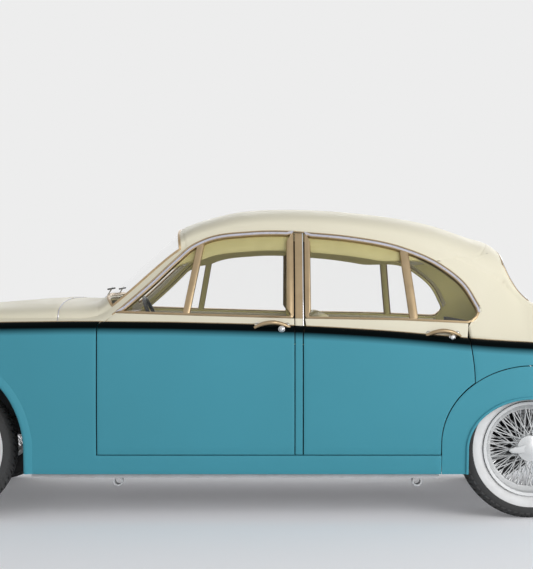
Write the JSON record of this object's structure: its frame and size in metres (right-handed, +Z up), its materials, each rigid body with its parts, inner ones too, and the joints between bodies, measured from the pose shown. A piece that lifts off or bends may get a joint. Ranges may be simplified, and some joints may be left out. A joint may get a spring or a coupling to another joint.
{
  "type": "four-door sports saloon car",
  "caption": "Two-tone sports saloon of about 1960 with wire wheels, opening doors, bonnet and boot, steered front wheels and a fitted cabin.",
  "frame": {"origin": "on the ground under the middle of the car", "axes": "+X rearwards along the car, +Y to the car's right, +Z up"},
  "size_m": [4.59, 1.6952, 1.4701],
  "materials": {
    "teal_paint": "gloss two-tone lower colour",
    "cream_paint": "gloss two-tone upper colour",
    "brightwork": "polished bright plating",
    "underbody": "satin black",
    "window_glass": "clear polished glass",
    "lamp_glass": "clear fluted glass",
    "amber_lens": "amber lens",
    "red_lens": "red lens",
    "tyre_rubber": "black with a white side band",
    "wheel_silver": "silver enamel",
    "steel": "machined steel",
    "engine_iron": "painted casting",
    "seat_hide": "cream hide",
    "dash_wood": "varnished veneer",
    "black_plastic": "black moulded rim"
  },
  "bodies": {
    "car_body": {"front_wings": "teal_paint", "rear_wings": "teal_paint", "spats": "teal_paint", "sills": "teal_paint", "scuttle": "cream_paint", "screen_frame": "cream_paint", "windscreen": "window_glass", "roof": "cream_paint", "rear_quarters": "cream_paint", "rear_window": "window_glass", "door_posts": "cream_paint", "door_hinges": "underbody", "lid_brackets": "underbody", "nose_panel": "teal_paint", "tail_panel": "teal_paint", "grille": "brightwork", "headlamps": "brightwork", "headlamp_lenses": "lamp_glass", "side_lamps": "amber_lens", "tail_lamps": "red_lens", "front_bumper": "brightwork", "rear_bumper": "brightwork", "floor_pan": "underbody", "bulkheads": "underbody", "front_frame": "underbody", "boot_floor": "underbody", "engine_block": "engine_iron", "front_crossmember": "underbody", "rear_axle": "underbody", "propshaft": "steel", "dashboard": "dash_wood", "steering_column": "underbody", "front_seats": "seat_hide", "seat_bases": "underbody", "rear_seat": "seat_hide"},
    "front_door_body_left": {"front_door_left": "teal_paint", "front_trim_left": "brightwork", "front_glass_left": "window_glass"},
    "rear_door_body_left": {"rear_door_left": "teal_paint", "rear_trim_left": "brightwork", "rear_glass_left": "window_glass"},
    "steer_left": {"knuckle_left": "steel"},
    "front_wheel_body_left": {"front_tyre_left": "tyre_rubber", "front_wheel_left": "wheel_silver"},
    "rear_wheel_body_left": {"rear_tyre_left": "tyre_rubber", "rear_wheel_left": "wheel_silver"},
    "front_door_body_right": {"front_door_right": "teal_paint", "front_trim_right": "brightwork", "front_glass_right": "window_glass"},
    "rear_door_body_right": {"rear_door_right": "teal_paint", "rear_trim_right": "brightwork", "rear_glass_right": "window_glass"},
    "steer_right": {"knuckle_right": "steel"},
    "front_wheel_body_right": {"front_tyre_right": "tyre_rubber", "front_wheel_right": "wheel_silver"},
    "rear_wheel_body_right": {"rear_tyre_right": "tyre_rubber", "rear_wheel_right": "wheel_silver"},
    "bonnet_body": {"bonnet": "cream_paint"},
    "boot_body": {"boot_lid": "cream_paint"},
    "steering_wheel_body": {"steering_wheel": "black_plastic"}
  },
  "joints": [
    {"name": "front_door_swing_left", "type": "hinge", "parent": "car_body", "child": "front_door_body_left", "pos_m": [-0.764, -0.79489, 0.6], "axis": [0, 0, -1], "range_deg": [0, 65]},
    {"name": "rear_door_swing_left", "type": "hinge", "parent": "car_body", "child": "rear_door_body_left", "pos_m": [0.19, -0.79489, 0.6], "axis": [0, 0, -1], "range_deg": [0, 65]},
    {"name": "steer_turn_left", "type": "hinge", "parent": "car_body", "child": "steer_left", "pos_m": [-1.496, -0.63, 0.326], "axis": [0, 0, 1], "range_deg": [-32, 32]},
    {"name": "front_wheel_spin_left", "type": "hinge", "parent": "steer_left", "child": "front_wheel_body_left", "pos_m": [-1.496, -0.6985, 0.326], "axis": [0, -1, 0], "continuous": true},
    {"name": "rear_wheel_spin_left", "type": "hinge", "parent": "car_body", "child": "rear_wheel_body_left", "pos_m": [1.231, -0.673, 0.326], "axis": [0, -1, 0], "continuous": true},
    {"name": "front_door_swing_right", "type": "hinge", "parent": "car_body", "child": "front_door_body_right", "pos_m": [-0.764, 0.79489, 0.6], "axis": [0, 0, 1], "range_deg": [0, 65]},
    {"name": "rear_door_swing_right", "type": "hinge", "parent": "car_body", "child": "rear_door_body_right", "pos_m": [0.19, 0.79489, 0.6], "axis": [0, 0, 1], "range_deg": [0, 65]},
    {"name": "steer_turn_right", "type": "hinge", "parent": "car_body", "child": "steer_right", "pos_m": [-1.496, 0.63, 0.326], "axis": [0, 0, 1], "range_deg": [-32, 32]},
    {"name": "front_wheel_spin_right", "type": "hinge", "parent": "steer_right", "child": "front_wheel_body_right", "pos_m": [-1.496, 0.6985, 0.326], "axis": [0, -1, 0], "continuous": true},
    {"name": "rear_wheel_spin_right", "type": "hinge", "parent": "car_body", "child": "rear_wheel_body_right", "pos_m": [1.231, 0.673, 0.326], "axis": [0, -1, 0], "continuous": true},
    {"name": "bonnet_lift", "type": "hinge", "parent": "car_body", "child": "bonnet_body", "pos_m": [-0.895, 0, 0.98], "axis": [0, 1, 0], "range_deg": [0, 50]},
    {"name": "boot_lift", "type": "hinge", "parent": "car_body", "child": "boot_body", "pos_m": [1.329, 0, 0.94], "axis": [0, -1, 0], "range_deg": [0, 65]},
    {"name": "steering_wheel_turn", "type": "hinge", "parent": "car_body", "child": "steering_wheel_body", "pos_m": [-0.54, -0.36, 0.838], "axis": [0.9135, 0, 0.4067], "range_deg": [-384, 384]}
  ],
  "couplings": [
    {"joint": "steer_turn_right", "follows": "steer_turn_left", "ratio": 1},
    {"joint": "steering_wheel_turn", "follows": "steer_turn_left", "ratio": 12}
  ]
}
